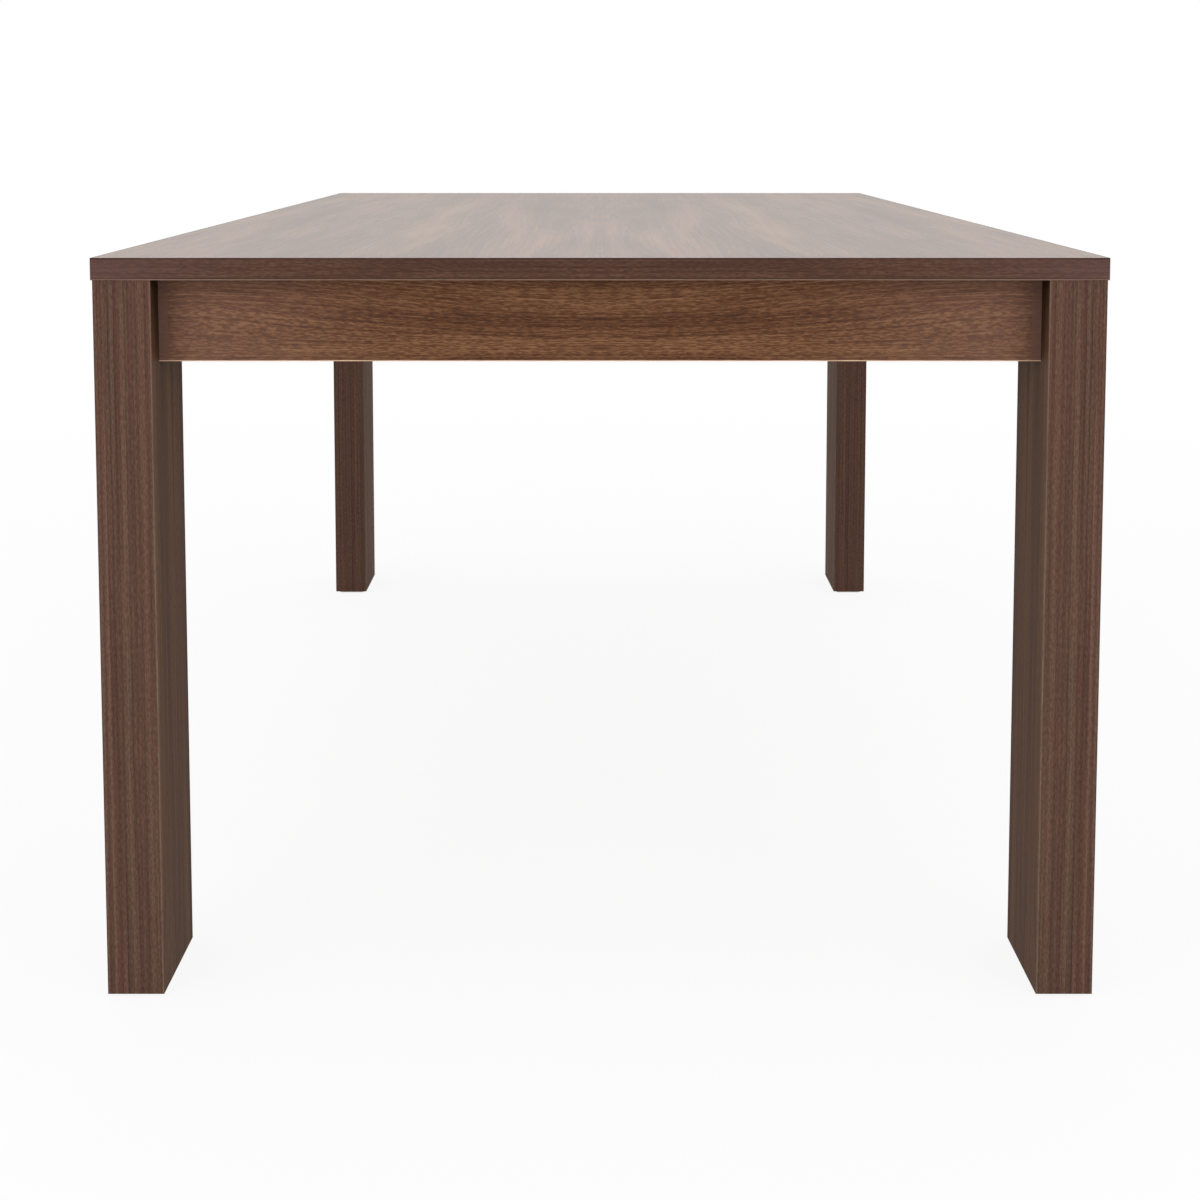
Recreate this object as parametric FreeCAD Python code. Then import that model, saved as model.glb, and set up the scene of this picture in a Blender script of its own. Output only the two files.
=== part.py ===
import FreeCAD
import Part
import os

# Dining table with plank legs, built from faced boards and made to be taken apart.
# Millimetres. X runs across the table, Y along it, Z up, and the origin is on the floor
# under the middle of the top. The end of the table at -Y is called the front.

Vector = FreeCAD.Vector

# Overall size
TABLE_LENGTH = 2000.0
TABLE_WIDTH = 1000.0
TABLE_HEIGHT = 750.0

# Top
TOP_THICKNESS = 22.0
TOP_BAND = 2.0
TOP_BAND_ROUND = 0.6

# Legs: two boards glued to both sides of a core frame, their edges covered by bands
LEG_DEPTH = 150.0
LEG_BOARD = 16.0
LEG_CORE = 25.0
LEG_BAND = 1.0
LEG_BAND_ROUND = 0.6
LEG_INSET = 1.5
STILE_WIDTH = 40.0
HEAD_BLOCK_HEIGHT = 120.0
FOOT_BLOCK_HEIGHT = 70.0

# Pads that keep the legs off the floor, two under each leg
PAD_THICKNESS = 3.0
PAD_WIDTH = 46.0
PAD_DEPTH = 30.0
PAD_MARGIN = 6.0
PAD_BEVEL = 1.0
PAD_CORNER = 4.0

# Aprons round the frame, and the rail between the side aprons
APRON_HEIGHT = 84.0
APRON_THICKNESS = 18.0
APRON_BAND = 1.0
APRON_BAND_ROUND = 0.5
END_APRON_SETBACK = 36.0
RAIL_HEIGHT = 62.0

# Cam fitting: a cam turned in one board pulls on the head of a bolt screwed into the other
CAM_AXIS_DISTANCE = 34.0
CAM_RADIUS = 7.4
CAM_HEIGHT = 12.9
CAM_SUNK = 0.3
CAM_CLEARANCE = 0.1
CAM_WALL = 2.2
CAM_CAP = 5.0
CAM_NECK_CLEARANCE = 0.4
CAM_HEAD_CLEARANCE = 0.3
CAM_SLOT_TURN_SHARE = 0.6
CAM_SLOT_LEAD_SHARE = 0.14
CAM_CROSS_WIDTH = 1.3
CAM_CROSS_LENGTH = 7.0
CAM_CROSS_DEPTH = 2.0
BOLT_SCREW_RADIUS = 2.5
BOLT_SCREW_LENGTH = 11.0
BOLT_FLANGE_RADIUS = 3.9
BOLT_FLANGE_THICKNESS = 1.5
BOLT_FLANGE_CLEARANCE = 0.1
BOLT_SHAFT_RADIUS = 3.0
BOLT_NECK_RADIUS = 2.2
BOLT_NECK_MARGIN = 1.0
BOLT_HEAD_RADIUS = 3.4
BOLT_HEAD_THICKNESS = 3.2
BOLT_HEAD_BEVEL = 0.8
BOLT_SCREW_BEVEL = 1.2

# Dowels above and below the middle of each joint
DOWEL_RADIUS = 4.0
DOWEL_IN_HOST = 11.0
DOWEL_IN_RAIL = 19.0
DOWEL_END_GAP = 0.6
DOWEL_BEVEL = 1.0
APRON_DOWEL_OFFSET = 26.0
RAIL_DOWEL_OFFSET = 17.0

# Steel brackets that hold the top down and the rail to the side aprons
BRACKET_FLANGE = 26.0
BRACKET_WIDTH = 18.0
BRACKET_STEEL = 2.0
BRACKET_BEND = 3.5
BRACKET_CORNER = 4.0
END_BRACKET_SPREAD = 220.0
SIDE_BRACKET_SPREAD = 430.0
RAIL_BRACKET_SPREAD = 200.0

# Round pieces that repeat, and their bores, are drawn with flats, each this share of a turn
CAM_FLAT_SHARE = 1 / 24
PIN_FLAT_SHARE = 1 / 12

# How far a cut runs past what it cuts, and how near two places are to count as one
CUT_OVERRUN = 1.0
SAME_PLACE = 0.001

# Sizes and places that follow from those above
LEG_THICKNESS = LEG_BOARD + LEG_CORE + LEG_BOARD
UNDERSIDE = TABLE_HEIGHT - TOP_THICKNESS
HALF_WIDTH = TABLE_WIDTH / 2
HALF_LENGTH = TABLE_LENGTH / 2
LEG_OUTER_X = HALF_WIDTH - LEG_INSET
LEG_INNER_X = LEG_OUTER_X - LEG_THICKNESS
LEG_MIDDLE_X = LEG_OUTER_X - LEG_THICKNESS / 2
LEG_END_Y = HALF_LENGTH - LEG_INSET
LEG_INSIDE_Y = LEG_END_Y - LEG_DEPTH
END_APRON_OUTER_Y = LEG_END_Y - END_APRON_SETBACK
END_APRON_INNER_Y = END_APRON_OUTER_Y - APRON_THICKNESS
END_APRON_MIDDLE_Y = END_APRON_OUTER_Y - APRON_THICKNESS / 2
SIDE_APRON_OUTER_X = LEG_MIDDLE_X + APRON_THICKNESS / 2
SIDE_APRON_INNER_X = LEG_MIDDLE_X - APRON_THICKNESS / 2
APRON_MIDDLE_Z = UNDERSIDE - APRON_HEIGHT / 2
RAIL_MIDDLE_Z = UNDERSIDE - RAIL_HEIGHT / 2
LEG_BRACKET_Y = (END_APRON_INNER_Y + LEG_INSIDE_Y) / 2

CAM_MOUTH = APRON_THICKNESS / 2
CAM_FACE = CAM_MOUTH - CAM_SUNK
CAM_FOOT = CAM_FACE - CAM_HEIGHT
CAM_CAVITY_RADIUS = CAM_RADIUS - CAM_WALL
CAM_SLOT_HALF_WIDTH = BOLT_NECK_RADIUS + CAM_NECK_CLEARANCE
BOLT_NECK_START = CAM_AXIS_DISTANCE - CAM_RADIUS - CAM_CLEARANCE - BOLT_NECK_MARGIN
# The back of the bolt's head lies close against the inside of the cam's wall, beside the slot.
BOLT_HEAD_REACH = (CAM_CAVITY_RADIUS**2 - BOLT_HEAD_RADIUS**2 + CAM_SLOT_HALF_WIDTH**2) ** 0.5
BOLT_HEAD_START = CAM_AXIS_DISTANCE - BOLT_HEAD_REACH
BOLT_HEAD_END = BOLT_HEAD_START + BOLT_HEAD_THICKNESS

ENDS = {"front": -1, "rear": 1}
SIDES = {"left": -1, "right": 1}
ORIGIN = Vector(0, 0, 0)
ALONG_X = Vector(1, 0, 0)
ALONG_Y = Vector(0, 1, 0)
UP = Vector(0, 0, 1)


def box(x_range, y_range, z_range):
    """A block between three pairs of coordinates, each pair in any order."""
    low = Vector(min(x_range), min(y_range), min(z_range))
    high = Vector(max(x_range), max(y_range), max(z_range))
    size = high - low
    return Part.makeBox(size.x, size.y, size.z, low)


def prism(start, end, radius, flat_share):
    """A level bar with even flats from one point to another, its corners at a radius."""
    along = end - start
    across = UP.cross(along).normalize() * radius
    corners = []
    for flat in range(round(1 / flat_share)):
        turn = FreeCAD.Rotation(along, 360 * (flat + 0.5) * flat_share)
        corners.append(start + turn.multVec(across))
    return Part.Face(Part.makePolygon([*corners, corners[0]])).extrude(along)


def set_in(shape, origin, x_axis, y_axis):
    """A copy of a shape made about the origin, carried to a place with its X and Y turned."""
    copy = shape.copy()
    turn = FreeCAD.Rotation(x_axis, y_axis, x_axis.cross(y_axis), "XYZ")
    copy.Placement = FreeCAD.Placement(origin, turn).multiply(copy.Placement)
    return copy


def to_corner(shape, side, end):
    """A shape drawn in the +X +Y corner, mirrored to another corner of the table."""
    if side < 0:
        shape = shape.mirror(ORIGIN, ALONG_X)
    if end < 0:
        shape = shape.mirror(ORIGIN, ALONG_Y)
    return shape


def edges_along(shape, direction, passes=lambda point: True):
    """The straight edges of a shape that run in a direction and whose middles pass a test."""
    found = []
    for edge in shape.Edges:
        first, last = edge.Vertexes[0].Point, edge.Vertexes[-1].Point
        span = last - first
        if (span - direction * span.dot(direction)).Length > SAME_PLACE:
            continue
        if span.Length > SAME_PLACE and passes((first + last) / 2):
            found.append(edge)
    return found


def export(name, solids):
    """Writes one node, which may hold several separate solids."""
    shape = solids[0] if len(solids) == 1 else Part.makeCompound(solids)
    shape.exportStep(os.path.join("parts", name + ".step"))


# A joint is drawn in a frame of its own. The two boards meet on the plane X = 0, the board
# whose end is held lies towards +X, its host towards -X, and the mouth of a cam faces +Y.

CAM_CENTRE = ALONG_X * CAM_AXIS_DISTANCE


def pin(start_x, end_x, radius, height=0):
    """A pin or its bore along X, at a height above the middle of the joint."""
    middle = UP * height
    return prism(middle + ALONG_X * start_x, middle + ALONG_X * end_x, radius, PIN_FLAT_SHARE)


def bevel_end(shape, end_x, bevel):
    """Bevels the edges round the end of a pin at a place along X."""
    ring = []
    for edge in shape.Edges:
        if abs(edge.BoundBox.XMin - end_x) < SAME_PLACE and edge.BoundBox.XLength < SAME_PLACE:
            ring.append(edge)
    return shape.makeChamfer(bevel, ring)


def dowel_solid(height):
    """A dowel with bevelled ends, at a height above the middle of the joint."""
    dowel = pin(-DOWEL_IN_HOST, DOWEL_IN_RAIL, DOWEL_RADIUS, height)
    return bevel_end(bevel_end(dowel, -DOWEL_IN_HOST, DOWEL_BEVEL), DOWEL_IN_RAIL, DOWEL_BEVEL)


def cam_solid():
    """A die-cast cam: a cup whose wall has a hole for the bolt's head, leading to a slot for its neck."""
    cam_foot = CAM_CENTRE + ALONG_Y * CAM_FOOT
    cam_face = CAM_CENTRE + ALONG_Y * CAM_FACE
    cam = prism(cam_foot, cam_face, CAM_RADIUS, CAM_FLAT_SHARE)
    cavity_foot = CAM_CENTRE + ALONG_Y * (CAM_FOOT - CUT_OVERRUN)
    cavity_head = CAM_CENTRE + ALONG_Y * (CAM_FACE - CAM_CAP)
    cam = cam.cut(prism(cavity_foot, cavity_head, CAM_CAVITY_RADIUS, CAM_FLAT_SHARE))

    reach = ALONG_X * (CAM_RADIUS + CUT_OVERRUN)
    rise = ALONG_Y * CAM_SLOT_HALF_WIDTH
    corners = [CAM_CENTRE - rise, CAM_CENTRE - reach - rise, CAM_CENTRE - reach + rise, CAM_CENTRE + rise]
    section = Part.Face(Part.makePolygon([*corners, corners[0]]))
    slot = section.revolve(CAM_CENTRE, ALONG_Y, 360 * CAM_SLOT_TURN_SHARE)
    entry = prism(CAM_CENTRE, CAM_CENTRE - reach, BOLT_HEAD_RADIUS + CAM_HEAD_CLEARANCE, PIN_FLAT_SHARE)
    slot.rotate(CAM_CENTRE, ALONG_Y, -360 * CAM_SLOT_LEAD_SHARE)
    entry.rotate(CAM_CENTRE, ALONG_Y, 360 * (CAM_SLOT_TURN_SHARE - CAM_SLOT_LEAD_SHARE))
    cam = cam.cut([slot, entry])

    for long_x, long_z in ((CAM_CROSS_LENGTH, CAM_CROSS_WIDTH), (CAM_CROSS_WIDTH, CAM_CROSS_LENGTH)):
        arm = box(
            (CAM_AXIS_DISTANCE - long_x / 2, CAM_AXIS_DISTANCE + long_x / 2),
            (CAM_FACE - CAM_CROSS_DEPTH, CAM_FACE + CUT_OVERRUN),
            (-long_z / 2, long_z / 2),
        )
        cam = cam.cut(arm)
    return cam


def bolt_solid():
    """A cam bolt: a pointed screw end, a flange that stops it, a shaft, a neck and a bevelled head."""
    lengths = [
        pin(-BOLT_SCREW_LENGTH, 0, BOLT_SCREW_RADIUS),
        pin(0, BOLT_FLANGE_THICKNESS, BOLT_FLANGE_RADIUS),
        pin(BOLT_FLANGE_THICKNESS, BOLT_NECK_START, BOLT_SHAFT_RADIUS),
        pin(BOLT_NECK_START, BOLT_HEAD_START, BOLT_NECK_RADIUS),
        pin(BOLT_HEAD_START, BOLT_HEAD_END, BOLT_HEAD_RADIUS),
    ]
    bolt = lengths[0].fuse(lengths[1:])
    return bevel_end(bevel_end(bolt, -BOLT_SCREW_LENGTH, BOLT_SCREW_BEVEL), BOLT_HEAD_END, BOLT_HEAD_BEVEL)


class DowelJoint:
    """The end of one board held against another by two dowels, and the bores in both boards."""

    def __init__(self, origin, into_rail, mouth_side, dowel_offset):
        self.place = (origin, into_rail, mouth_side)
        self.dowels, self.rail_bores, self.host_bores = [], [], []
        for height in (-dowel_offset, dowel_offset):
            rail_bore = pin(-CUT_OVERRUN, DOWEL_IN_RAIL + DOWEL_END_GAP, DOWEL_RADIUS, height)
            host_bore = pin(-DOWEL_IN_HOST - DOWEL_END_GAP, CUT_OVERRUN, DOWEL_RADIUS, height)
            self.dowels.append(self.here(dowel_solid(height)))
            self.rail_bores.append(self.here(rail_bore))
            self.host_bores.append(self.here(host_bore))

    def here(self, shape):
        """A shape drawn in the frame of the joint, carried to where the joint is."""
        return set_in(shape, *self.place)


class CamJoint(DowelJoint):
    """A dowel joint that is also pulled together by a cam and its bolt."""

    def __init__(self, origin, into_rail, mouth_side, dowel_offset):
        super().__init__(origin, into_rail, mouth_side, dowel_offset)
        self.cam = self.here(cam_solid())
        self.bolt = self.here(bolt_solid())
        cam_bore = prism(
            CAM_CENTRE + ALONG_Y * CAM_FOOT,
            CAM_CENTRE + ALONG_Y * (CAM_MOUTH + CUT_OVERRUN),
            CAM_RADIUS + CAM_CLEARANCE,
            CAM_FLAT_SHARE,
        )
        bolt_bore = pin(-CUT_OVERRUN, CAM_AXIS_DISTANCE, BOLT_FLANGE_RADIUS + BOLT_FLANGE_CLEARANCE)
        screw_bore = pin(-BOLT_SCREW_LENGTH, CUT_OVERRUN, BOLT_SCREW_RADIUS)
        self.rail_bores += [self.here(cam_bore), self.here(bolt_bore)]
        self.host_bores.append(self.here(screw_bore))


# A bracket is drawn in a corner. The wall is the plane X = 0 behind it, the underside of
# what it holds is the plane Z = 0 above it, and Y = 0 is its middle.

def bracket_solid():
    """A steel strip bent round a slack corner, with clipped tips."""
    bend = BRACKET_BEND
    inside_bend = bend + BRACKET_STEEL * (2**0.5 - 1)
    outline = [
        (0, BRACKET_FLANGE),
        (0, bend),
        (bend, 0),
        (BRACKET_FLANGE, 0),
        (BRACKET_FLANGE, BRACKET_STEEL),
        (inside_bend, BRACKET_STEEL),
        (BRACKET_STEEL, inside_bend),
        (BRACKET_STEEL, BRACKET_FLANGE),
        (0, BRACKET_FLANGE),
    ]
    wire = Part.makePolygon([Vector(x, -BRACKET_WIDTH / 2, -depth) for x, depth in outline])
    bracket = Part.Face(wire).extrude(ALONG_Y * BRACKET_WIDTH)
    tips = edges_along(bracket, ALONG_X, lambda p: p.z < -BRACKET_FLANGE + SAME_PLACE)
    tips += edges_along(bracket, UP, lambda p: p.x > BRACKET_FLANGE - SAME_PLACE)
    return bracket.makeChamfer(BRACKET_CORNER, tips)


def bracket_in(corner, wall_normal, held_side):
    """A bracket in the corner between a wall and the piece that it holds."""
    return set_in(bracket_solid(), corner, wall_normal, held_side.cross(wall_normal))


# The top

def top_board():
    """The board of the top, inside its bands."""
    reach_x = HALF_WIDTH - TOP_BAND
    reach_y = HALF_LENGTH - TOP_BAND
    return box((-reach_x, reach_x), (-reach_y, reach_y), (UNDERSIDE, TABLE_HEIGHT))


def top_end_band():
    """The band over the whole width of the top, for the end at +Y."""
    band = box((-HALF_WIDTH, HALF_WIDTH), (HALF_LENGTH - TOP_BAND, HALF_LENGTH), (UNDERSIDE, TABLE_HEIGHT))
    outer = edges_along(band, ALONG_X, lambda p: p.y > HALF_LENGTH - SAME_PLACE)
    outer += edges_along(band, UP, lambda p: p.y > HALF_LENGTH - SAME_PLACE)
    return band.makeFillet(TOP_BAND_ROUND, outer)


def top_side_band():
    """The band along the top between the end bands, for the side at +X."""
    reach_y = HALF_LENGTH - TOP_BAND
    band = box((HALF_WIDTH - TOP_BAND, HALF_WIDTH), (-reach_y, reach_y), (UNDERSIDE, TABLE_HEIGHT))
    outer = edges_along(band, ALONG_Y, lambda p: p.x > HALF_WIDTH - SAME_PLACE)
    return band.makeFillet(TOP_BAND_ROUND, outer)


# One leg, drawn in the +X +Y corner

def leg_board(outer_face_x):
    """One of the two boards, its thickness running inwards from a face."""
    return box(
        (outer_face_x - LEG_BOARD, outer_face_x),
        (LEG_INSIDE_Y + LEG_BAND, LEG_END_Y - LEG_BAND),
        (PAD_THICKNESS, UNDERSIDE),
    )


def leg_core():
    """The core frame: a stile along each edge of the leg, and a block at its head and its foot."""
    thickness = (LEG_INNER_X + LEG_BOARD, LEG_OUTER_X - LEG_BOARD)
    height = (PAD_THICKNESS, UNDERSIDE)
    end_y = LEG_END_Y - LEG_BAND
    inside_y = LEG_INSIDE_Y + LEG_BAND
    between = (inside_y + STILE_WIDTH, end_y - STILE_WIDTH)
    end_stile = box(thickness, (end_y - STILE_WIDTH, end_y), height)
    inside_stile = box(thickness, (inside_y, inside_y + STILE_WIDTH), height)
    head_block = box(thickness, between, (UNDERSIDE - HEAD_BLOCK_HEIGHT, UNDERSIDE))
    foot_block = box(thickness, between, (PAD_THICKNESS, PAD_THICKNESS + FOOT_BLOCK_HEIGHT))
    return [end_stile, inside_stile, head_block, foot_block]


def leg_band(face_y, inner_y):
    """A band over the board edges, out to a face, with its two long arrises eased."""
    band = box((LEG_INNER_X, LEG_OUTER_X), (inner_y, face_y), (PAD_THICKNESS, UNDERSIDE))
    return band.makeFillet(LEG_BAND_ROUND, edges_along(band, UP, lambda p: abs(p.y - face_y) < SAME_PLACE))


def pad_solids():
    """The two pads under the leg, with clipped corners and a bevel round the foot."""
    pads = []
    for outer_y in (LEG_END_Y - PAD_MARGIN, LEG_INSIDE_Y + PAD_MARGIN + PAD_DEPTH):
        pad = box(
            (LEG_MIDDLE_X - PAD_WIDTH / 2, LEG_MIDDLE_X + PAD_WIDTH / 2),
            (outer_y - PAD_DEPTH, outer_y),
            (0, PAD_THICKNESS),
        )
        pad = pad.makeChamfer(PAD_CORNER, edges_along(pad, UP))
        foot = [edge for edge in pad.Edges if edge.BoundBox.ZMax < SAME_PLACE]
        pads.append(pad.makeChamfer(PAD_BEVEL, foot))
    return pads


def export_leg(name, side, end, end_joint, side_joint):
    """Writes the six nodes of a leg in its corner, bored for the joints that it hosts."""
    end_stile, inside_stile, *blocks = (to_corner(piece, side, end) for piece in leg_core())
    inner_board = to_corner(leg_board(LEG_INNER_X + LEG_BOARD), side, end)
    inside_band = to_corner(leg_band(LEG_INSIDE_Y, LEG_INSIDE_Y + LEG_BAND), side, end)
    export(name + "_outer_board", [to_corner(leg_board(LEG_OUTER_X), side, end)])
    export(name + "_inner_board", [inner_board.cut(end_joint.host_bores)])
    export(name + "_core_frame", [end_stile, inside_stile.cut(side_joint.host_bores), *blocks])
    export(name + "_end_band", [to_corner(leg_band(LEG_END_Y, LEG_END_Y - LEG_BAND), side, end)])
    export(name + "_inside_band", [inside_band.cut(side_joint.host_bores)])
    export(name + "_pads", [to_corner(pad, side, end) for pad in pad_solids()])


# Aprons and the rail

def hung_board(x_range, y_range, height):
    """An upright board that hangs from the underside of the top, down to its lower band."""
    return box(x_range, y_range, (UNDERSIDE - height + APRON_BAND, UNDERSIDE))


def lower_band(x_range, y_range, height, along):
    """The band under a hung board, with its two long arrises eased."""
    foot = UNDERSIDE - height
    band = box(x_range, y_range, (foot, foot + APRON_BAND))
    return band.makeFillet(APRON_BAND_ROUND, edges_along(band, along, lambda p: p.z < foot + SAME_PLACE))


def export_hung_board(name, x_range, y_range, height, along, joints, host_bores):
    """Writes an apron or the rail, its band and the dowels at both its ends."""
    bores = [bore for joint in joints for bore in joint.rail_bores]
    export(name, [hung_board(x_range, y_range, height).cut(bores + host_bores)])
    export(name + "_band", [lower_band(x_range, y_range, height, along)])
    export(name + "_dowels", [dowel for joint in joints for dowel in joint.dowels])


def export_cams(name, joints):
    """Writes the cams and the cam bolts at both ends of an apron."""
    export(name + "_cams", [joint.cam for joint in joints])
    export(name + "_cam_bolts", [joint.bolt for joint in joints])


def build():
    os.makedirs("parts", exist_ok=True)

    # Joints come first, because the boards are bored for them.
    end_joints, side_joints, rail_joints, top_brackets, rail_brackets = {}, {}, {}, [], []
    for side_name, side in SIDES.items():
        inwards = ALONG_X * -side
        rail_end = Vector(side * SIDE_APRON_INNER_X, 0, RAIL_MIDDLE_Z)
        rail_joints[side_name] = DowelJoint(rail_end, inwards, ALONG_Y, RAIL_DOWEL_OFFSET)
        on_rail = Vector(side * RAIL_BRACKET_SPREAD, APRON_THICKNESS / 2, UNDERSIDE)
        top_brackets.append(bracket_in(on_rail, ALONG_Y, UP))
        beside_rail = rail_end - ALONG_Y * (APRON_THICKNESS / 2)
        rail_brackets.append(bracket_in(beside_rail, inwards, ALONG_Y))
        for end_name, end in ENDS.items():
            corner = (end_name, side_name)
            to_middle = ALONG_Y * -end
            end_joints[corner] = CamJoint(
                Vector(side * LEG_INNER_X, end * END_APRON_MIDDLE_Y, APRON_MIDDLE_Z),
                inwards,
                to_middle,
                APRON_DOWEL_OFFSET,
            )
            side_joints[corner] = CamJoint(
                Vector(side * LEG_MIDDLE_X, end * LEG_INSIDE_Y, APRON_MIDDLE_Z),
                to_middle,
                inwards,
                APRON_DOWEL_OFFSET,
            )
            on_leg = Vector(side * LEG_INNER_X, end * LEG_BRACKET_Y, UNDERSIDE)
            on_end_apron = Vector(side * END_BRACKET_SPREAD, end * END_APRON_INNER_Y, UNDERSIDE)
            on_side_apron = Vector(side * SIDE_APRON_INNER_X, end * SIDE_BRACKET_SPREAD, UNDERSIDE)
            top_brackets.append(bracket_in(on_leg, inwards, UP))
            top_brackets.append(bracket_in(on_end_apron, to_middle, UP))
            top_brackets.append(bracket_in(on_side_apron, inwards, UP))

    export("top_board", [top_board()])
    for end_name, end in ENDS.items():
        export("top_band_" + end_name, [to_corner(top_end_band(), 1, end)])
    for side_name, side in SIDES.items():
        export("top_band_" + side_name, [to_corner(top_side_band(), side, 1)])

    for corner, end_joint in end_joints.items():
        end_name, side_name = corner
        name = "leg_" + end_name + "_" + side_name
        export_leg(name, SIDES[side_name], ENDS[end_name], end_joint, side_joints[corner])

    for end_name, end in ENDS.items():
        name = "end_apron_" + end_name
        joints = [end_joints[end_name, side_name] for side_name in SIDES]
        y_range = (end * END_APRON_INNER_Y, end * END_APRON_OUTER_Y)
        export_hung_board(name, (-LEG_INNER_X, LEG_INNER_X), y_range, APRON_HEIGHT, ALONG_X, joints, [])
        export_cams(name, joints)
    for side_name, side in SIDES.items():
        name = "side_apron_" + side_name
        joints = [side_joints[end_name, side_name] for end_name in ENDS]
        x_range = (side * SIDE_APRON_INNER_X, side * SIDE_APRON_OUTER_X)
        y_range = (-LEG_INSIDE_Y, LEG_INSIDE_Y)
        rail_bores = rail_joints[side_name].host_bores
        export_hung_board(name, x_range, y_range, APRON_HEIGHT, ALONG_Y, joints, rail_bores)
        export_cams(name, joints)
    rail_x = (-SIDE_APRON_INNER_X, SIDE_APRON_INNER_X)
    rail_y = (-APRON_THICKNESS / 2, APRON_THICKNESS / 2)
    export_hung_board("centre_rail", rail_x, rail_y, RAIL_HEIGHT, ALONG_X, rail_joints.values(), [])

    export("top_brackets", top_brackets)
    export("rail_brackets", rail_brackets)


build()
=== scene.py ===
import math
from dataclasses import dataclass, replace
from typing import NamedTuple

import bmesh
import bpy
from mathutils import Matrix, Vector


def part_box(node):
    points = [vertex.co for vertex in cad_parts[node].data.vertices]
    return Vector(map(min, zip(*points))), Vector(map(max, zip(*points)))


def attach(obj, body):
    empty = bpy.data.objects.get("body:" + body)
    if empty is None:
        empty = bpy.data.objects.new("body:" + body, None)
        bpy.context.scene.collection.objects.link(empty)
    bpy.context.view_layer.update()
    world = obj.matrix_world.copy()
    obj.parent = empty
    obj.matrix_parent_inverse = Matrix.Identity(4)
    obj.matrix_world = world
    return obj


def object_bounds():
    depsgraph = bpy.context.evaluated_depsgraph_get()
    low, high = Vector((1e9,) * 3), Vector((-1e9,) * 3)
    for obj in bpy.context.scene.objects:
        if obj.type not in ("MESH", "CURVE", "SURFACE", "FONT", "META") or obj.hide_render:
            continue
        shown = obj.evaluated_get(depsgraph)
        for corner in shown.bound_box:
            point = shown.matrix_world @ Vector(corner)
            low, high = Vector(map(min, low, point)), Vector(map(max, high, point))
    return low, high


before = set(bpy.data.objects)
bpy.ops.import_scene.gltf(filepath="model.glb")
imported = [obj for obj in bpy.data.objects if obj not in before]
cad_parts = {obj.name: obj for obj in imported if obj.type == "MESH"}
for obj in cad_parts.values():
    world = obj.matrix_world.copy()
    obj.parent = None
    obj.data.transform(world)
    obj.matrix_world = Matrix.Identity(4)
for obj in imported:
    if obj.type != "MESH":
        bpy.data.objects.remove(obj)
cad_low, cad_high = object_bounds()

# Dining table with plank legs. Metres: X runs across the table, Y along it, Z up.
# Colours are screen values from 0 to 255, apart from the floor's and the world's, which are linear.

# Pieces and places from the frame

LEGS = [f"leg_{end}_{side}" for end in ("front", "rear") for side in ("left", "right")]
END_APRONS = ["end_apron_front", "end_apron_rear"]
SIDE_APRONS = ["side_apron_left", "side_apron_right"]
BOARDS_ACROSS = [*END_APRONS, "centre_rail"]

TOP_Z = cad_high.z
UNDERSIDE_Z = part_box("top_board")[0].z
APRON_LOW_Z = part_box("end_apron_front")[0].z
LOWER_BAND_LOW_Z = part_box("end_apron_front_band")[0].z
LEG_INNER_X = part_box("leg_front_right_inner_board")[0].x
LEG_OUTER_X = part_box("leg_front_right_outer_board")[1].x


def parts(owners, *kinds):
    """The names of the pieces of some kinds that each owner has."""
    return [f"{owner}_{kind}" for owner in owners for kind in kinds]


def dress(material, names):
    """Gives a material to whole nodes."""
    for name in names:
        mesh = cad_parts[name].data
        mesh.materials.clear()
        mesh.materials.append(material)


def linear(colour):
    """A screen colour as the linear values that a shader takes."""
    values = []
    for value in colour:
        share = value / 255
        values.append(share / 12.92 if share <= 0.04045 else ((share + 0.055) / 1.055) ** 2.4)
    return (*values, 1.0)


# Node trees

class Tree:
    """A node tree, and short ways to add nodes to it."""

    def __init__(self, tree):
        self.nodes = tree.nodes
        self.links = tree.links

    def put(self, value, socket):
        """Links a socket to an input, or sets the input to a value."""
        if isinstance(value, bpy.types.NodeSocket):
            self.links.new(value, socket)
        else:
            socket.default_value = value

    def add(self, kind, inputs=(), **settings):
        """A node with its settings, and its inputs given by name or number as values or sockets."""
        node = self.nodes.new(kind)
        for key, value in settings.items():
            setattr(node, key, value)
        for key, value in dict(inputs).items():
            self.put(value, node.inputs[key])
        return node

    def math(self, operation, first, second=0.0, third=0.0, clamp=False):
        inputs = {0: first, 1: second, 2: third}
        return self.add("ShaderNodeMath", inputs, operation=operation, use_clamp=clamp).outputs[0]

    def ramp(self, value, low, high, start=0.0, end=1.0, smooth=True):
        """From start to end as a value goes from low to high, and level outside. Low may be the greater."""
        inputs = {"Value": value, "From Min": low, "From Max": high, "To Min": start, "To Max": end}
        kind = "SMOOTHSTEP" if smooth else "LINEAR"
        return self.add("ShaderNodeMapRange", inputs, interpolation_type=kind).outputs[0]


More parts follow.
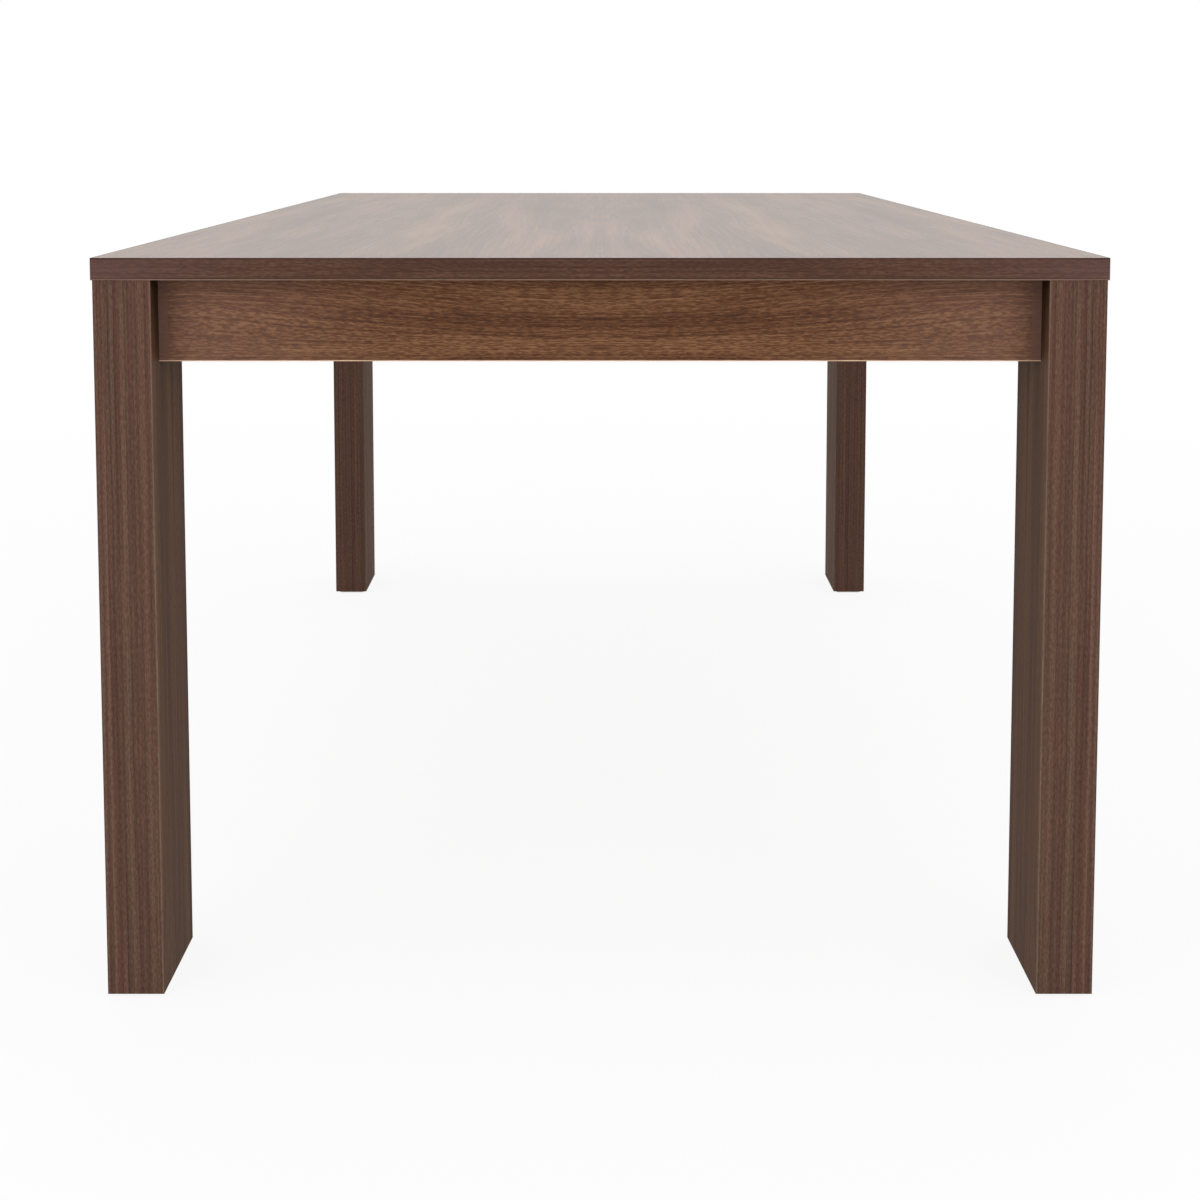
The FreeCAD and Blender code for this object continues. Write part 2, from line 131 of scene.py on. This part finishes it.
class Shader(Tree):
    """A new material with a principled surface, and short ways to shape it."""

    OPENNESS_SAMPLES = 8

    def __init__(self, name, specular=0.5, metallic=0.0):
        self.material = bpy.data.materials.new(name)
        self.material.use_nodes = True
        super().__init__(self.material.node_tree)
        self.surface = self.nodes["Principled BSDF"].inputs
        self.surface["Specular IOR Level"].default_value = specular
        self.surface["Metallic"].default_value = metallic
        self.places = self.add("ShaderNodeTexCoord").outputs

    def mix(self, share, first, second, blend="MIX"):
        """The first colour with the second mixed in by a share."""
        node = self.add("ShaderNodeMix", data_type="RGBA", blend_type=blend)
        for key, value in (("Factor_Float", share), ("A_Color", first), ("B_Color", second)):
            self.put(value, next(s for s in node.inputs if s.identifier == key))
        return next(s for s in node.outputs if s.identifier == "Result_Color")

    def multiply(self, first, second):
        return self.mix(1.0, first, second, blend="MULTIPLY")

    def noise(self, vector, detail=2.0, roughness=0.5):
        inputs = {"Vector": vector, "Scale": 1.0, "Detail": detail, "Roughness": roughness}
        return self.add("ShaderNodeTexNoise", inputs).outputs[0]

    def scaled(self, per_metre):
        """The place on the object, in units of which a metre holds this many."""
        inputs = {0: self.places["Object"], 1: (per_metre,) * 3}
        return self.add("ShaderNodeVectorMath", inputs, operation="MULTIPLY").outputs[0]

    def axes(self):
        """X, Y and Z of the object, in metres."""
        return self.add("ShaderNodeSeparateXYZ", {0: self.places["Object"]}).outputs

    def join(self, x, y, z):
        return self.add("ShaderNodeCombineXYZ", {0: x, 1: y, 2: z}).outputs[0]

    def openness(self, reach):
        """1 on an open face, less where other faces stand closer than a reach."""
        inputs = {"Distance": reach}
        return self.add("ShaderNodeAmbientOcclusion", inputs, samples=self.OPENNESS_SAMPLES).outputs["AO"]

    def near(self, value, place, reach, soft):
        """1 within a reach of a place on an axis, falling to 0 over a soft edge."""
        away = self.math("ABSOLUTE", self.math("SUBTRACT", value, place))
        return self.ramp(away, reach + soft, reach)

    def set_colour(self, value):
        self.put(value, self.surface["Base Color"])

    def set_roughness(self, value, low, high):
        """Roughness from low to high with a value that goes from 0 to 1."""
        self.put(self.ramp(value, 0.0, 1.0, start=low, end=high, smooth=False), self.surface["Roughness"])

    def set_relief(self, height, depth):
        """Relief from a height of 0 to 1, its depth in metres."""
        node = self.add("ShaderNodeBump", {"Height": height, "Distance": depth, "Strength": 1.0})
        self.put(node.outputs[0], self.surface["Normal"])


def tone(shader, values_and_weights):
    """0.5 plus each value's distance from 0.5 times its weight, kept between 0 and 1."""
    total = 0.5
    for value, weight in values_and_weights:
        swing = shader.math("MULTIPLY", shader.math("SUBTRACT", value, 0.5), weight)
        total = shader.math("ADD", swing, total)
    return shader.math("ADD", total, 0.0, clamp=True)


def three_tones(shader, value, dark, middle, light):
    """A colour from dark through middle to light."""
    lower = shader.mix(shader.ramp(value, 0.0, 0.5, smooth=False), linear(dark), linear(middle))
    return shader.mix(shader.ramp(value, 0.5, 1.0, smooth=False), lower, linear(light))


# Printed grain, and the painted reflection, highlights and shade laid over it

class Layer(NamedTuple):
    """Streaks of about one length and width, the detail of their noise, and their weight in the tone."""
    length: float
    width: float
    detail: float
    weight: float


class Veins(NamedTuple):
    """Dark lines round streaks of a length and width, how broad they are drawn, and their weight."""
    length: float
    width: float
    breadth: float
    weight: float


class Wave(NamedTuple):
    """How the grain wanders: over what length and width, and how far."""
    length: float
    width: float
    swing: float


class Climb(NamedTuple):
    """Grain that rises away from the middle: how far, over what length, and from which height to which."""
    lift: float
    reach: float
    low: float
    high: float


class Hues(NamedTuple):
    """Two tints that take turns in patches of a length and width."""
    first: tuple
    second: tuple
    length: float
    width: float


class EndReflection(NamedTuple):
    """A painted reflection: a paler, greyer colour that grows between two distances from the middle of the
    table, and its greatest share.
    """
    near: float
    far: float
    share: float
    colour: tuple


class EdgeLine(NamedTuple):
    """A line at a place on an axis: half its breadth, its soft edge, its share and its colour."""
    axis: str
    place: float
    reach: float
    soft: float
    share: float
    colour: tuple


@dataclass(frozen=True)
class Decor:
    """A printed grain: its tones from dark to light, its gloss, its layers, and what else it has."""
    tones: tuple
    specular: float
    rough: tuple
    figure: Layer
    streak: Layer
    fibre: Layer
    veins: Veins
    wave: Wave
    climb: Climb = None
    hues: Hues = None
    end_reflection: EndReflection = None


TOP = Decor(
    tones=((62, 44, 34), (95, 69, 52), (122, 95, 73)), specular=0.42, rough=(0.42, 0.52),
    figure=Layer(0.90, 0.060, detail=2.0, weight=1.4),
    streak=Layer(0.32, 0.0042, detail=4.0, weight=1.8),
    fibre=Layer(0.012, 0.0015, detail=1.0, weight=0.50),
    veins=Veins(0.90, 0.060, breadth=0.014, weight=0.16),
    wave=Wave(0.60, 0.15, swing=0.040),
    hues=Hues((255, 248, 250), (252, 250, 240), length=0.60, width=0.10),
)
SIDE_BAND = Decor(
    tones=((52, 31, 24), (73, 48, 37), (96, 69, 54)), specular=0.12, rough=(0.55, 0.70),
    figure=Layer(0.50, 0.014, detail=2.0, weight=0.5),
    streak=Layer(0.24, 0.0024, detail=3.0, weight=1.3),
    fibre=Layer(0.0065, 0.0012, detail=1.0, weight=0.34),
    veins=Veins(0.40, 0.008, breadth=0.020, weight=0.15),
    wave=Wave(0.30, 0.08, swing=0.003),
)
# The end bands turn paler and greyer towards their ends: a painted reflection
END_BAND = replace(SIDE_BAND, end_reflection=EndReflection(near=0.30, far=0.52, share=0.35, colour=(97, 73, 71)))
SIDE_APRON = Decor(
    tones=((60, 33, 19), (92, 59, 37), (129, 92, 64)), specular=0.12, rough=(0.55, 0.70),
    figure=Layer(0.60, 0.018, detail=3.0, weight=0.9),
    streak=Layer(0.40, 0.0020, detail=5.0, weight=1.6),
    fibre=Layer(0.0080, 0.0010, detail=1.0, weight=0.45),
    veins=Veins(0.40, 0.008, breadth=0.020, weight=0.30),
    wave=Wave(0.30, 0.05, swing=0.005),
)
END_APRON = replace(
    SIDE_APRON,
    climb=Climb(lift=0.024, reach=0.42, low=APRON_LOW_Z + 0.005, high=UNDERSIDE_Z - 0.023),
    # The end aprons turn paler and greyer towards their ends: a painted reflection
    end_reflection=EndReflection(near=0.16, far=0.42, share=0.27, colour=(122, 93, 84)),
)
LEG_NARROW_FACE = Decor(
    tones=((59, 38, 31), (85, 61, 50), (113, 87, 74)), specular=0.12, rough=(0.60, 0.75),
    figure=Layer(1.20, 0.0042, detail=1.0, weight=0.7),
    streak=Layer(0.40, 0.0018, detail=3.0, weight=0.8),
    fibre=Layer(0.0050, 0.0012, detail=1.0, weight=0.28),
    veins=Veins(1.20, 0.0060, breadth=0.050, weight=0.18),
    wave=Wave(0.10, 0.05, swing=0.0020),
    hues=Hues((254, 244, 245), (246, 249, 246), length=0.90, width=0.0045),
)
LEG_BROAD_FACE = Decor(
    tones=((61, 41, 28), (86, 60, 43), (110, 84, 64)), specular=0.06, rough=(0.60, 0.75),
    figure=Layer(1.20, 0.036, detail=2.0, weight=1.0),
    streak=Layer(0.50, 0.0060, detail=3.0, weight=1.2),
    fibre=Layer(0.0070, 0.0012, detail=1.0, weight=0.30),
    veins=Veins(0.90, 0.030, breadth=0.030, weight=0.25),
    wave=Wave(0.30, 0.08, swing=0.0040),
)
PALE_BAND = Decor(
    tones=((168, 132, 104), (196, 162, 134), (220, 192, 166)), specular=0.4, rough=(0.40, 0.55),
    figure=Layer(0.60, 0.016, detail=2.0, weight=1.1),
    streak=Layer(0.11, 0.0042, detail=2.0, weight=0.9),
    fibre=Layer(0.022, 0.0013, detail=1.0, weight=0.25),
    veins=Veins(0.42, 0.020, breadth=0.012, weight=0.25),
    wave=Wave(0.45, 0.11, swing=0.010),
)
BEECH = replace(
    PALE_BAND,
    tones=((176, 128, 84), (204, 160, 112), (224, 186, 142)), specular=0.3, rough=(0.60, 0.75),
    figure=Layer(0.30, 0.008, detail=2.0, weight=1.1),
    streak=Layer(0.05, 0.0021, detail=2.0, weight=0.9),
    fibre=Layer(0.011, 0.0010, detail=1.0, weight=0.25),
)

# Lines along arrises and seams: pale painted highlights and dark joints, and a strip of painted shade at each
# end of an end apron

# Painted highlight: the pale colour of the lines along the arrises
PAINTED_HIGHLIGHT_LINE = (170, 146, 128)
DARK_LINE = (52, 30, 22)
# Painted shade: the flat, greyer strip on each end of an end apron, beside the leg
LEG_SHADE_STRIP_TONE = (101, 74, 63)
SECOND_LINE_RISE = 0.0019
LEG_SHADE_STRIP_INSET = 0.0040
OUTER_LINE_OUTSET = 0.0005
TOP_LINES = (
    # The pale line along the band's lower arris is a painted highlight
    EdgeLine("Z", UNDERSIDE_Z, reach=0.0007, soft=0.0004, share=0.40, colour=PAINTED_HIGHLIGHT_LINE),
    EdgeLine("Z", UNDERSIDE_Z + SECOND_LINE_RISE, reach=0.0004, soft=0.0004, share=0.60, colour=DARK_LINE),
    EdgeLine("Z", TOP_Z, reach=0.0013, soft=0.0006, share=0.85, colour=DARK_LINE),
)
APRON_SHADE_STRIPS = (
    # A strip of painted shade beside each leg
    EdgeLine("X", LEG_INNER_X - LEG_SHADE_STRIP_INSET, reach=0.0050, soft=0.0010, share=0.80, colour=LEG_SHADE_STRIP_TONE),
)
LEG_LINES = (
    # The pale line along the leg's inner arris is a painted highlight
    EdgeLine("X", LEG_INNER_X, reach=0.0010, soft=0.0006, share=0.16, colour=PAINTED_HIGHLIGHT_LINE),
    EdgeLine("X", LEG_OUTER_X + OUTER_LINE_OUTSET, reach=0.0010, soft=0.0005, share=0.80, colour=DARK_LINE),
)
LINE_BREAK_LENGTH = 0.05
LINE_BREAK_WIDTH = 0.02
LINE_LEAST_SHARE = 0.5

# Painted shade high on the legs, where the aprons and top shut them in, cut edges, and what streaks and fibre
# do to gloss and relief

# Painted shade: a darker tone high on each leg where the aprons and top close round it, the shade of a recess
PAINTED_SHADE_TONE = (122, 102, 92)
WHITE = (255, 255, 255)
PAINTED_SHADE_REACH = 0.12
PAINTED_SHADE_DROP = 0.024
PAINTED_SHADE_FADE = 0.05
PAINTED_SHADE_FULL_Z = LOWER_BAND_LOW_Z - PAINTED_SHADE_DROP
PAINTED_SHADE_NONE_Z = PAINTED_SHADE_FULL_Z - PAINTED_SHADE_FADE

CHIP_TONES = ((132, 98, 62), (170, 134, 92), (200, 168, 126))
CHIPS_PER_METRE = 420.0

STREAK_DULLS = 0.8
FIBRE_DULLS = 0.3
EMBOSSING_DEPTH = 0.00006


class Grain:
    """Grain along one axis of a board, as values about 0.5. It is mirrored about the middle, where X is 0."""

    def __init__(self, shader, along, offset, decor):
        x, y, z = shader.axes()
        x = shader.math("ABSOLUTE", x)
        self.shader = shader
        self.length, across, depth = {"X": (x, z, y), "Y": (y, x, z), "Z": (z, x, y)}[along]
        self.print_length = shader.math("ADD", self.length, offset)
        if decor.climb:
            height = shader.ramp(across, decor.climb.low, decor.climb.high)
            share = shader.math("MULTIPLY", shader.ramp(self.length, 0.0, decor.climb.reach), height)
            across = shader.math("SUBTRACT", across, shader.math("MULTIPLY", share, decor.climb.lift))
        lean = shader.noise(self.place(decor.wave.length, decor.wave.width, across, depth))
        lean = shader.math("MULTIPLY", shader.math("SUBTRACT", lean, 0.5), decor.wave.swing)
        self.across = shader.math("ADD", across, lean)
        self.depth = shader.math("ADD", depth, lean)

    def place(self, long, wide, across, depth):
        """A place in noise whose unit is this long along the grain and this wide across it."""
        return self.shader.join(
            self.shader.math("MULTIPLY", self.print_length, 1 / long),
            self.shader.math("MULTIPLY", across, 1 / wide),
            self.shader.math("MULTIPLY", depth, 1 / wide),
        )

    def streaks(self, long, wide, detail, roughness=0.5):
        """Streaks of about this length and width, in metres."""
        return self.shader.noise(self.place(long, wide, self.across, self.depth), detail, roughness)

    def layer(self, layer):
        return self.streaks(layer.length, layer.width, layer.detail, roughness=0.65)

    def veins(self, veins):
        """The weight on a vein and 0 elsewhere."""
        field = self.streaks(veins.length, veins.width, detail=1.5)
        away = self.shader.math("ABSOLUTE", self.shader.math("SUBTRACT", field, 0.5))
        return self.shader.math("MULTIPLY", self.shader.ramp(away, veins.breadth, 0.0), veins.weight)


# Faced boards, their bands and the dowels

def tinted(shader, colour, grain, hues):
    patch = shader.ramp(grain.streaks(hues.length, hues.width, detail=1.0), low=0.40, high=0.60)
    return shader.multiply(colour, shader.mix(patch, linear(hues.first), linear(hues.second)))


# Painted reflection: a paler, greyer colour towards the ends of a board
def with_end_reflection(shader, colour, grain, end_reflection):
    away = shader.ramp(grain.length, end_reflection.near, end_reflection.far)
    return shader.mix(shader.math("MULTIPLY", away, end_reflection.share), colour, linear(end_reflection.colour))


def with_pocket_shade(shader, colour):
    """A colour with painted shade high on a leg, darker where other faces shut it in."""
    clean = shader.ramp(shader.openness(PAINTED_SHADE_REACH), low=0.30, high=0.80)
    clean = shader.math("MAXIMUM", clean, shader.ramp(shader.axes()[2], PAINTED_SHADE_FULL_Z, PAINTED_SHADE_NONE_Z))
    return shader.multiply(colour, shader.mix(clean, linear(PAINTED_SHADE_TONE), linear(WHITE)))


def lined(shader, colour, grain, line):
    """A colour with a line on it, broken here and there. The lines are dark joints, pale painted highlights
    along arrises, and strips of painted shade.
    """
    coordinate = shader.math("ABSOLUTE", shader.axes()["XYZ".index(line.axis)])
    share = shader.math("MULTIPLY", shader.near(coordinate, line.place, line.reach, line.soft), line.share)
    kept = shader.ramp(grain.streaks(LINE_BREAK_LENGTH, LINE_BREAK_WIDTH, detail=1.0), low=0.25, high=0.55)
    kept = shader.math("MULTIPLY_ADD", kept, 1 - LINE_LEAST_SHARE, LINE_LEAST_SHARE)
    return shader.mix(shader.math("MULTIPLY", share, kept), colour, linear(line.colour))


def chip_colour(shader):
    """Pressed chips, pale and dark."""
    inputs = {"Vector": shader.places["Object"], "Scale": CHIPS_PER_METRE}
    chips = shader.add("ShaderNodeTexVoronoi", inputs).outputs["Color"]
    share = shader.add("ShaderNodeSeparateColor", {0: chips}).outputs[0]
    return three_tones(shader, share, *CHIP_TONES)


def raw_at_cuts(shader, colour):
    """A colour that gives way to bare chips on faces that look up or down."""
    normal_z = shader.add("ShaderNodeSeparateXYZ", {0: shader.places["Normal"]}).outputs[2]
    cut = shader.ramp(shader.math("ABSOLUTE", normal_z), low=0.90, high=0.95)
    return shader.mix(cut, colour, chip_colour(shader))


def board_material(name, along, offset, decor, edge_lines=(), on_legs=False):
    """A melamine facing, an edge band or bare wood with its grain along an axis, embossed a little along it.

    The offset says where in the endless grain the board is taken from.
    """
    shader = Shader(name, specular=decor.specular)
    grain = Grain(shader, along, offset, decor)
    figure = grain.layer(decor.figure)
    streak = grain.layer(decor.streak)
    fibre = shader.ramp(grain.layer(decor.fibre), low=0.36, high=0.64)
    layers = ((figure, decor.figure.weight), (streak, decor.streak.weight), (fibre, decor.fibre.weight))
    value = shader.math("SUBTRACT", tone(shader, layers), grain.veins(decor.veins), clamp=True)
    colour = three_tones(shader, value, *decor.tones)
    if decor.hues:
        colour = tinted(shader, colour, grain, decor.hues)
    if decor.end_reflection:
        colour = with_end_reflection(shader, colour, grain, decor.end_reflection)
    for line in edge_lines:
        colour = lined(shader, colour, grain, line)
    if on_legs:
        # Painted shade high on the legs, then bare chips on the cut ends
        colour = raw_at_cuts(shader, with_pocket_shade(shader, colour))
    shader.set_colour(colour)
    dullness = tone(shader, ((streak, STREAK_DULLS), (fibre, FIBRE_DULLS)))
    shader.set_roughness(dullness, *decor.rough)
    shader.set_relief(fibre, EMBOSSING_DEPTH)
    return shader.material


def dress_boards():
    dress(board_material("top_facing", "Y", offset=3.1, decor=TOP), ["top_board"])
    dress(board_material("top_band_ends", "X", offset=1.7, decor=END_BAND, edge_lines=TOP_LINES),
          parts(["top_band"], "front", "rear"))
    dress(board_material("top_band_sides", "Y", offset=2.3, decor=SIDE_BAND, edge_lines=TOP_LINES),
          parts(["top_band"], "left", "right"))
    dress(board_material("leg_facing", "Z", offset=0.6, decor=LEG_BROAD_FACE, on_legs=True),
          parts(LEGS, "outer_board", "inner_board"))
    dress(board_material("leg_edge_band", "Z", offset=4.2, decor=LEG_NARROW_FACE, edge_lines=LEG_LINES),
          parts(LEGS, "end_band", "inside_band"))
    dress(board_material("end_apron_facing", "X", offset=9.3, decor=END_APRON, edge_lines=APRON_SHADE_STRIPS),
          BOARDS_ACROSS)
    dress(board_material("side_apron_facing", "Y", offset=6.5, decor=SIDE_APRON), SIDE_APRONS)
    for way, axis, boards in (("across", "X", BOARDS_ACROSS), ("along", "Y", SIDE_APRONS)):
        dress(board_material(f"lower_band_{way}", axis, offset=0.9, decor=PALE_BAND), parts(boards, "band"))
        dress(board_material(f"beech_{way}", axis, offset=0.9, decor=BEECH), parts(boards, "dowels"))


# Cores, fittings and pads

def chipboard_material():
    shader = Shader("chipboard", specular=0.2)
    shader.set_colour(chip_colour(shader))
    rough = shader.noise(shader.scaled(per_metre=300.0))
    shader.set_roughness(rough, low=0.8, high=1.0)
    shader.set_relief(rough, depth=0.0003)
    return shader.material


def metal_material(name, clean, dull, per_metre, rough):
    """Cast or plated metal with faint clouding."""
    shader = Shader(name, metallic=1.0)
    cloud = shader.noise(shader.scaled(per_metre), detail=4.0, roughness=0.6)
    clouded = shader.ramp(cloud, low=0.35, high=0.70)
    shader.set_colour(shader.mix(clouded, linear(clean), linear(dull)))
    shader.set_roughness(cloud, *rough)
    shader.set_relief(cloud, depth=0.00002)
    return shader.material


def zinc_material():
    return metal_material("cast_zinc", clean=(150, 150, 154), dull=(120, 120, 124), per_metre=400.0,
                          rough=(0.35, 0.60))


def steel_material():
    return metal_material("plated_steel", clean=(186, 186, 190), dull=(160, 160, 162), per_metre=180.0,
                          rough=(0.22, 0.42))


def plastic_material():
    shader = Shader("pad_plastic", specular=0.4)
    speck = shader.noise(shader.scaled(per_metre=900.0), detail=3.0)
    shader.set_colour(shader.mix(speck, linear((186, 182, 176)), linear((214, 211, 206))))
    shader.set_roughness(speck, low=0.45, high=0.65)
    shader.set_relief(speck, depth=0.00004)
    return shader.material


def dress_fittings(steel):
    dress(chipboard_material(), parts(LEGS, "core_frame"))
    dress(zinc_material(), parts(END_APRONS + SIDE_APRONS, "cams"))
    dress(steel, ["top_brackets", "rail_brackets", *parts(END_APRONS + SIDE_APRONS, "cam_bolts")])
    dress(plastic_material(), parts(LEGS, "pads"))


# Screws that hold the brackets

SCREW_SIDES = 24
SIDES_PER_ARM = SCREW_SIDES // 4
CROWN_HEIGHT = 0.0021
SCREW_RINGS = ((0.0, 0.0036), (0.0006, 0.0036), (0.0015, 0.0029), (CROWN_HEIGHT, 0.0018))
ARM_REACH = 0.0017
ARM_DEPTH = 0.0009
ARM_MOUTH = 0.0014
LAND_REACH = 0.0007
PIT_DEPTH = 0.0015

FLANGE_STEEL = 0.002
FLANGE_HOLE = 0.017
END_BRACKET_X = 0.220
RAIL_BRACKET_X = 0.200
SIDE_BRACKET_Y = 0.430


def cross_edge(side):
    """Height and radius of the recess's edge at a point: low at an arm's end, near the pit between arms."""
    from_arm = min(side % SIDES_PER_ARM, -side % SIDES_PER_ARM)
    if from_arm == 0:
        return CROWN_HEIGHT - ARM_DEPTH, ARM_REACH
    return CROWN_HEIGHT, ARM_MOUTH if from_arm == 1 else LAND_REACH


def screw_head(mesh, seat, outwards):
    """Adds one pan head with a cross recess to a mesh, seated at a point and facing outwards."""
    place = Matrix.Translation(seat) @ outwards.to_track_quat("Z", "Y").to_matrix().to_4x4()

    def point(side, height, radius):
        angle = 2 * math.pi * side / SCREW_SIDES
        return mesh.verts.new(place @ Vector((radius * math.cos(angle), radius * math.sin(angle), height)))

    sides = range(SCREW_SIDES)
    rings = [[point(side, height, radius) for side in sides] for height, radius in SCREW_RINGS]
    pit = point(0, CROWN_HEIGHT - PIT_DEPTH, 0.0)
    rings.append([point(side, *cross_edge(side)) for side in sides])
    for lower, upper in zip(rings, rings[1:]):
        for side in sides:
            after = (side + 1) % SCREW_SIDES
            mesh.faces.new((lower[side], lower[after], upper[after], upper[side]))
    for side in sides:
        mesh.faces.new((rings[-1][side], rings[-1][(side + 1) % SCREW_SIDES], pit))


def bracket_corners():
    """The corner that each bracket sits in, with the directions out of the two faces that meet there."""
    apron_face_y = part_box("end_apron_rear")[0].y
    leg_middle_y = (apron_face_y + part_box("leg_rear_right_inside_band")[0].y) / 2
    side_face_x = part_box("side_apron_right")[0].x
    rail_face_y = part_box("centre_rail")[1].y
    rail_middle_z = (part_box("centre_rail_band")[0].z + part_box("centre_rail")[1].z) / 2
    down, right, back = Vector((0, 0, -1)), Vector((1, 0, 0)), Vector((0, 1, 0))
    corners = []
    for side in (-1, 1):
        inwards = right * -side
        corners.append((Vector((side * RAIL_BRACKET_X, rail_face_y, UNDERSIDE_Z)), back, down))
        corners.append((Vector((side * side_face_x, -rail_face_y, rail_middle_z)), inwards, -back))
        for end in (-1, 1):
            on_leg = Vector((side * LEG_INNER_X, end * leg_middle_y, UNDERSIDE_Z))
            on_end_apron = Vector((side * END_BRACKET_X, end * apron_face_y, UNDERSIDE_Z))
            on_side_apron = Vector((side * side_face_x, end * SIDE_BRACKET_Y, UNDERSIDE_Z))
            corners.append((on_leg, inwards, down))
            corners.append((on_end_apron, back * -end, down))
            corners.append((on_side_apron, inwards, down))
    return corners


def bracket_screws(steel):
    """Both screws of every bracket, as one piece."""
    mesh = bmesh.new()
    for corner, first, second in bracket_corners():
        screw_head(mesh, corner + first * FLANGE_STEEL + second * FLANGE_HOLE, first)
        screw_head(mesh, corner + first * FLANGE_HOLE + second * FLANGE_STEEL, second)
    data = bpy.data.meshes.new("bracket_screws")
    mesh.to_mesh(data)
    mesh.free()
    data.materials.append(steel)
    piece = bpy.data.objects.new("bracket_screws", data)
    bpy.context.scene.collection.objects.link(piece)
    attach(piece, "root")


# Floor, light and camera

FLOOR_REACH = 40.0
FLOOR_GAP = 0.0003
FLOOR_GREY = (0.80, 0.80, 0.80, 1.0)
SHADOW_RADIUS = 1.3
PLAIN_RADIUS = 4.0
SHADOW_WHITENESS = 0.90
WORLD_WHITE = (1.0, 1.0, 1.0, 1.0)
WORLD_STRENGTH = 0.66


class Softbox(NamedTuple):
    """A lamp: where it stands, the point that it faces, its width and height, and its power."""
    name: str
    place: tuple
    aim: tuple
    size: tuple
    watts: float


SOFTBOXES = (
    Softbox("front_softbox_left", place=(-2.4, -4.2, 1.5), aim=(0, 0, 0.6), size=(2.4, 2.4), watts=58),
    Softbox("front_softbox_right", place=(2.4, -4.2, 1.5), aim=(0, 0, 0.6), size=(2.4, 2.4), watts=58),
    Softbox("overhead", place=(0, 0, 4.0), aim=(0, 0, 0), size=(4.0, 4.0), watts=60),
    Softbox("rear_softbox", place=(0, 9.0, 5.0), aim=(0, 0, 0.5), size=(13.0, 3.8), watts=250),
)

PHOTO_WIDTH_PIXELS = 1200
PHOTO_FOCAL_PIXELS = 2098.0
SENSOR_MILLIMETRES = 36.0
CAMERA_PLACE = (0.0, -3.0513, 0.8786)
CAMERA_DIP_DEGREES = 5.391
CAMERA_SHIFT = -0.23


def plain_when_seen(tree, lit, plain, share):
    """The lit shader, and in its place by a share the plain one for camera, glossy and transmission rays."""
    path = tree.add("ShaderNodeLightPath").outputs
    seen = tree.math("MAXIMUM", path["Is Camera Ray"], path["Is Glossy Ray"])
    seen = tree.math("MAXIMUM", seen, path["Is Transmission Ray"])
    inputs = {0: tree.math("MULTIPLY", seen, share), 1: lit, 2: plain}
    return tree.add("ShaderNodeMixShader", inputs).outputs[0]


def floor_material():
    """A pale floor that keeps the shadow round the table and fades to plain white further out."""
    material = bpy.data.materials.new("floor")
    material.use_nodes = True
    tree = Tree(material.node_tree)
    tree.nodes.clear()
    lit = tree.add("ShaderNodeBsdfDiffuse", {"Color": FLOOR_GREY}).outputs[0]
    plain = tree.add("ShaderNodeEmission").outputs[0]
    place = tree.add("ShaderNodeTexCoord").outputs["Object"]
    away = tree.add("ShaderNodeVectorMath", {0: place}, operation="LENGTH").outputs["Value"]
    share = tree.ramp(away, SHADOW_RADIUS, PLAIN_RADIUS, start=SHADOW_WHITENESS)
    tree.add("ShaderNodeOutputMaterial", {"Surface": plain_when_seen(tree, lit, plain, share)})
    return material


def build_floor():
    data = bpy.data.meshes.new("floor")
    corners = [(x * FLOOR_REACH, y * FLOOR_REACH, 0) for x, y in ((-1, -1), (1, -1), (1, 1), (-1, 1))]
    data.from_pydata(corners, [], [(0, 1, 2, 3)])
    data.materials.append(floor_material())
    floor = bpy.data.objects.new("floor", data)
    floor.location.z = -FLOOR_GAP
    bpy.context.scene.collection.objects.link(floor)


def build_world():
    world = bpy.data.worlds.new("studio")
    bpy.context.scene.world = world
    world.use_nodes = True
    tree = Tree(world.node_tree)
    tree.nodes.clear()
    lit = tree.add("ShaderNodeBackground", {"Color": WORLD_WHITE, "Strength": WORLD_STRENGTH}).outputs[0]
    plain = tree.add("ShaderNodeBackground", {"Color": WORLD_WHITE, "Strength": 1.0}).outputs[0]
    tree.add("ShaderNodeOutputWorld", {"Surface": plain_when_seen(tree, lit, plain, share=1.0)})


def build_softbox(softbox):
    data = bpy.data.lights.new(softbox.name, "AREA")
    data.shape = "RECTANGLE"
    data.size, data.size_y = softbox.size
    data.energy = softbox.watts
    lamp = bpy.data.objects.new(softbox.name, data)
    lamp.location = softbox.place
    lamp.rotation_euler = (Vector(softbox.aim) - Vector(softbox.place)).to_track_quat("-Z", "Y").to_euler()
    bpy.context.scene.collection.objects.link(lamp)


def build_camera():
    data = bpy.data.cameras.new("camera")
    data.sensor_fit = "HORIZONTAL"
    data.sensor_width = SENSOR_MILLIMETRES
    data.lens = SENSOR_MILLIMETRES * PHOTO_FOCAL_PIXELS / PHOTO_WIDTH_PIXELS
    data.shift_y = CAMERA_SHIFT
    camera = bpy.data.objects.new("camera", data)
    camera.location = CAMERA_PLACE
    camera.rotation_euler = (math.radians(90 - CAMERA_DIP_DEGREES), 0.0, 0.0)
    bpy.context.scene.collection.objects.link(camera)
    bpy.context.scene.camera = camera


plated_steel = steel_material()
dress_boards()
dress_fittings(plated_steel)
bracket_screws(plated_steel)
build_floor()
build_world()
for softbox in SOFTBOXES:
    build_softbox(softbox)
build_camera()
bpy.context.scene.view_settings.view_transform = "Standard"
